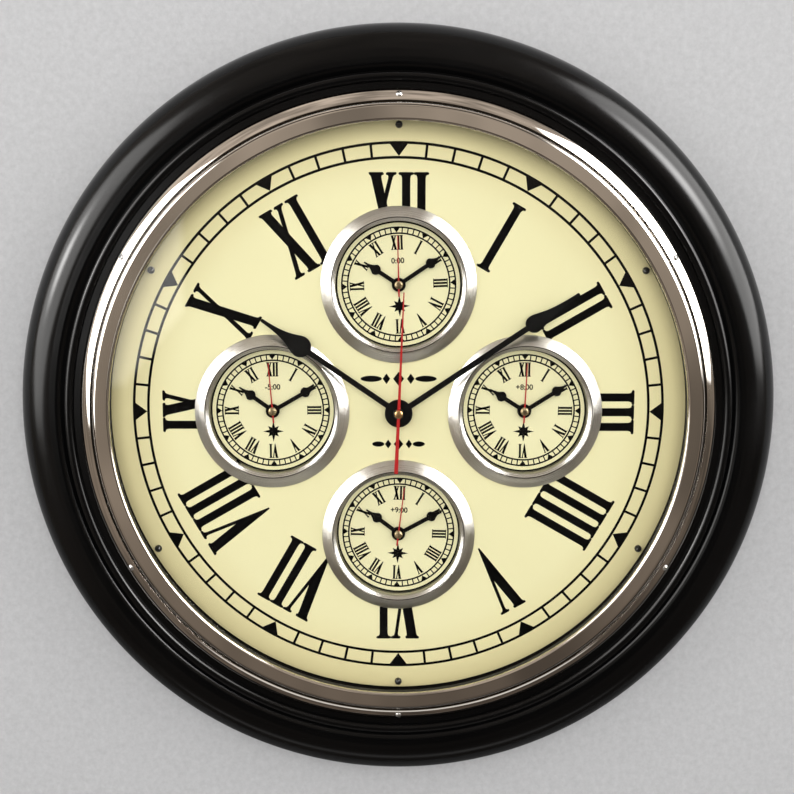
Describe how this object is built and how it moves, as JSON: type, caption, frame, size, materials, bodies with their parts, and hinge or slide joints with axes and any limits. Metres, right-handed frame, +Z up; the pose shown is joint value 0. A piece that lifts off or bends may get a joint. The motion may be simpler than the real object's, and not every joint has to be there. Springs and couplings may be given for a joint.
{
  "type": "world time wall clock",
  "caption": "Round wall clock: black turned case, nickel bezel and glass, cream dial with small insert clocks for other time zones, hung by a keyhole plate.",
  "frame": {"origin": "where the main dial's axis meets the wall, in the plane of the case's back", "axes": "+Y from the dial into the wall, so the clock faces -Y; +Z up to twelve; +X to three o'clock"},
  "size_m": [0.4614, 0.0541, 0.4614],
  "materials": {
    "case_wood": "turned wood, gloss black lacquer",
    "nickel_polished": "polished nickel plate",
    "nickel_satin": "satin nickel plate",
    "clear_glass": "clear flat glass",
    "clear_lens": "clear snap-in lens",
    "black_rubber": "matt",
    "dial_board": "fibreboard, cream paint",
    "insert_card": "cream printed sheet",
    "black_plastic": "moulded, fine grain",
    "wheel_plastic": "moulded, natural white",
    "circuit": "board, bobbin and chip",
    "cell_jacket": "plain printed jacket over steel",
    "cell_steel": "bright steel can",
    "brass": "turned",
    "steel": "zinc plated",
    "black_steel": "black oxide",
    "hand_black": "matt black paint",
    "hand_red": "red paint"
  },
  "bodies": {
    "clock": {"case_ring": "case_wood", "front_bezel": "nickel_polished", "bezel_screws": "steel", "front_glass": "clear_glass", "glass_retainer": "black_rubber", "main_dial": "dial_board", "dial_screws": "black_steel", "movement_housing": "black_plastic", "movement_cover": "black_plastic", "drive_circuit": "circuit", "battery": "cell_jacket", "movement_nut": "brass", "hanger_plate": "steel", "hanger_screws": "steel", "insert_gaskets": "black_rubber", "insert_batteries": "cell_steel", "top_cup": "black_plastic", "top_bezel": "nickel_satin", "top_lens": "clear_lens", "top_dial": "insert_card", "top_movement": "black_plastic", "right_cup": "black_plastic", "right_bezel": "nickel_satin", "right_lens": "clear_lens", "right_dial": "insert_card", "right_movement": "black_plastic", "bottom_cup": "black_plastic", "bottom_bezel": "nickel_satin", "bottom_lens": "clear_lens", "bottom_dial": "insert_card", "bottom_movement": "black_plastic", "left_cup": "black_plastic", "left_bezel": "nickel_satin", "left_lens": "clear_lens", "left_dial": "insert_card", "left_movement": "black_plastic"},
    "main_minute": {"minute_hand": "hand_black", "minute_arbor": "brass"},
    "main_hour": {"hour_hand": "hand_black", "hour_tube": "wheel_plastic"},
    "main_second": {"second_hand": "hand_red", "second_arbor": "steel"},
    "main_knob": {"set_knob": "black_plastic", "motion_wheel": "wheel_plastic"},
    "top_minute": {"top_minute_hand": "hand_black"},
    "top_hour": {"top_hour_hand": "hand_black"},
    "top_second": {"top_second_hand": "hand_red"},
    "top_knob": {"top_set_knob": "black_plastic"},
    "right_minute": {"right_minute_hand": "hand_black"},
    "right_hour": {"right_hour_hand": "hand_black"},
    "right_second": {"right_second_hand": "hand_red"},
    "right_knob": {"right_set_knob": "black_plastic"},
    "bottom_minute": {"bottom_minute_hand": "hand_black"},
    "bottom_hour": {"bottom_hour_hand": "hand_black"},
    "bottom_second": {"bottom_second_hand": "hand_red"},
    "bottom_knob": {"bottom_set_knob": "black_plastic"},
    "left_minute": {"left_minute_hand": "hand_black"},
    "left_hour": {"left_hour_hand": "hand_black"},
    "left_second": {"left_second_hand": "hand_red"},
    "left_knob": {"left_set_knob": "black_plastic"}
  },
  "joints": [
    {"name": "main_minute_spin", "type": "hinge", "parent": "clock", "child": "main_minute", "pos_m": [0, 0, 0], "axis": [0, 1, 0], "continuous": true},
    {"name": "main_hour_spin", "type": "hinge", "parent": "clock", "child": "main_hour", "pos_m": [0, 0, 0], "axis": [0, 1, 0], "continuous": true},
    {"name": "main_second_spin", "type": "hinge", "parent": "clock", "child": "main_second", "pos_m": [0, 0, 0], "axis": [0, 1, 0], "continuous": true},
    {"name": "main_knob_spin", "type": "hinge", "parent": "clock", "child": "main_knob", "pos_m": [0.00919, 0, 0.00771], "axis": [0, 1, 0], "continuous": true},
    {"name": "top_minute_spin", "type": "hinge", "parent": "clock", "child": "top_minute", "pos_m": [0, 0, 0.0765], "axis": [0, 1, 0], "continuous": true},
    {"name": "top_hour_spin", "type": "hinge", "parent": "clock", "child": "top_hour", "pos_m": [0, 0, 0.0765], "axis": [0, 1, 0], "continuous": true},
    {"name": "top_second_spin", "type": "hinge", "parent": "clock", "child": "top_second", "pos_m": [0, 0, 0.0765], "axis": [0, 1, 0], "continuous": true},
    {"name": "top_knob_spin", "type": "hinge", "parent": "clock", "child": "top_knob", "pos_m": [0, 0, 0.0865], "axis": [0, 1, 0], "continuous": true},
    {"name": "right_minute_spin", "type": "hinge", "parent": "clock", "child": "right_minute", "pos_m": [0.0765, 0, 0], "axis": [0, 1, 0], "continuous": true},
    {"name": "right_hour_spin", "type": "hinge", "parent": "clock", "child": "right_hour", "pos_m": [0.0765, 0, 0], "axis": [0, 1, 0], "continuous": true},
    {"name": "right_second_spin", "type": "hinge", "parent": "clock", "child": "right_second", "pos_m": [0.0765, 0, 0], "axis": [0, 1, 0], "continuous": true},
    {"name": "right_knob_spin", "type": "hinge", "parent": "clock", "child": "right_knob", "pos_m": [0.0765, 0, 0.01], "axis": [0, 1, 0], "continuous": true},
    {"name": "bottom_minute_spin", "type": "hinge", "parent": "clock", "child": "bottom_minute", "pos_m": [0, 0, -0.0765], "axis": [0, 1, 0], "continuous": true},
    {"name": "bottom_hour_spin", "type": "hinge", "parent": "clock", "child": "bottom_hour", "pos_m": [0, 0, -0.0765], "axis": [0, 1, 0], "continuous": true},
    {"name": "bottom_second_spin", "type": "hinge", "parent": "clock", "child": "bottom_second", "pos_m": [0, 0, -0.0765], "axis": [0, 1, 0], "continuous": true},
    {"name": "bottom_knob_spin", "type": "hinge", "parent": "clock", "child": "bottom_knob", "pos_m": [0, 0, -0.0665], "axis": [0, 1, 0], "continuous": true},
    {"name": "left_minute_spin", "type": "hinge", "parent": "clock", "child": "left_minute", "pos_m": [-0.0765, 0, 0], "axis": [0, 1, 0], "continuous": true},
    {"name": "left_hour_spin", "type": "hinge", "parent": "clock", "child": "left_hour", "pos_m": [-0.0765, 0, 0], "axis": [0, 1, 0], "continuous": true},
    {"name": "left_second_spin", "type": "hinge", "parent": "clock", "child": "left_second", "pos_m": [-0.0765, 0, 0], "axis": [0, 1, 0], "continuous": true},
    {"name": "left_knob_spin", "type": "hinge", "parent": "clock", "child": "left_knob", "pos_m": [-0.0765, 0, 0.01], "axis": [0, 1, 0], "continuous": true}
  ],
  "couplings": [
    {"joint": "main_hour_spin", "follows": "main_minute_spin", "ratio": 0.083333},
    {"joint": "main_knob_spin", "follows": "main_minute_spin", "ratio": -0.33333},
    {"joint": "top_hour_spin", "follows": "top_minute_spin", "ratio": 0.083333},
    {"joint": "top_knob_spin", "follows": "top_minute_spin", "ratio": -0.33333},
    {"joint": "right_hour_spin", "follows": "right_minute_spin", "ratio": 0.083333},
    {"joint": "right_knob_spin", "follows": "right_minute_spin", "ratio": -0.33333},
    {"joint": "bottom_hour_spin", "follows": "bottom_minute_spin", "ratio": 0.083333},
    {"joint": "bottom_knob_spin", "follows": "bottom_minute_spin", "ratio": -0.33333},
    {"joint": "left_hour_spin", "follows": "left_minute_spin", "ratio": 0.083333},
    {"joint": "left_knob_spin", "follows": "left_minute_spin", "ratio": -0.33333}
  ]
}
